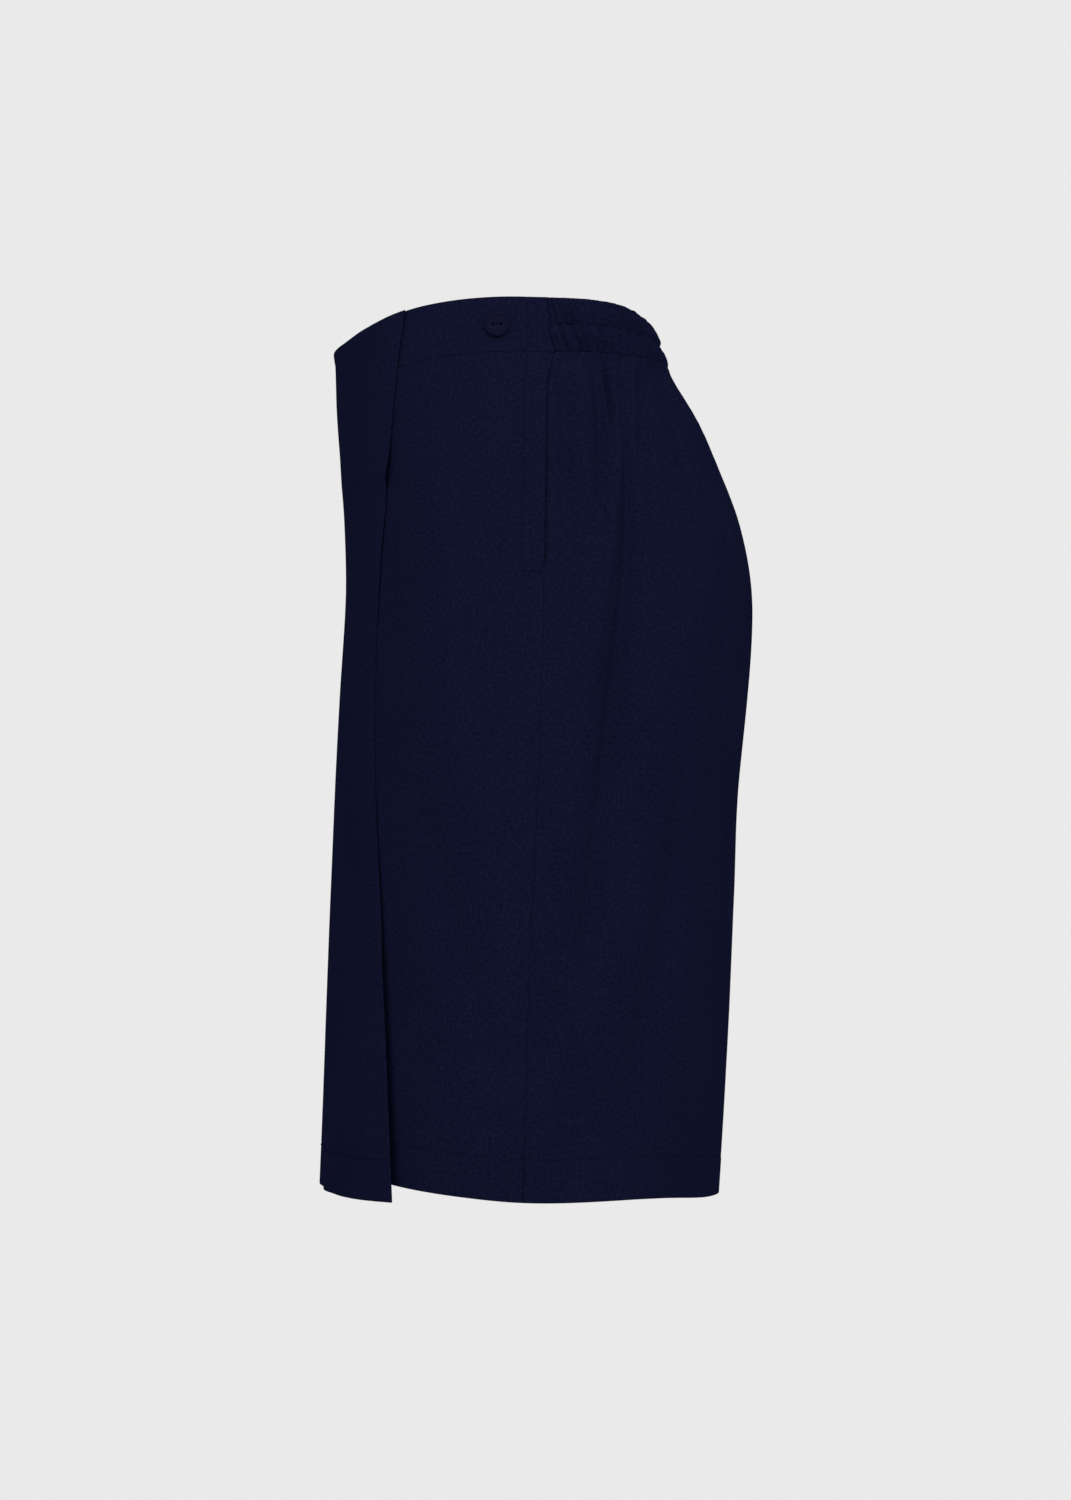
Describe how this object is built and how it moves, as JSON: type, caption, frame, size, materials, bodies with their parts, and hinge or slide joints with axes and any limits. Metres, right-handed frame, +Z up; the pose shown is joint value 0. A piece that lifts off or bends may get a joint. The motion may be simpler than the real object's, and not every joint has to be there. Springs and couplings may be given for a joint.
{
  "type": "skort with a skirt panel over wide-leg shorts",
  "caption": "Knee-length skort: wide-leg shorts under a front skirt panel that is free at the wearer's left edge, with a flat front waistband, an elastic back and a button.",
  "frame": {"origin": "middle of the waist opening, level with its top edge at the sides, where the wearer's waist holds it up", "axes": "+Z up, the front faces -Y, the wearer's left is +X"},
  "size_m": [0.4095, 0.275, 0.5502],
  "materials": {
    "navy_cloth": "matte navy suiting cloth with a fine twill grain",
    "navy_button": "navy plastic with a soft shine"
  },
  "bodies": {
    "root": {"front_left": "navy_cloth", "front_right": "navy_cloth", "back_left": "navy_cloth", "back_right": "navy_cloth", "skirt_panel": "navy_cloth", "waistband_front": "navy_cloth", "waistband_back": "navy_cloth", "button": "navy_button"}
  },
  "joints": []
}
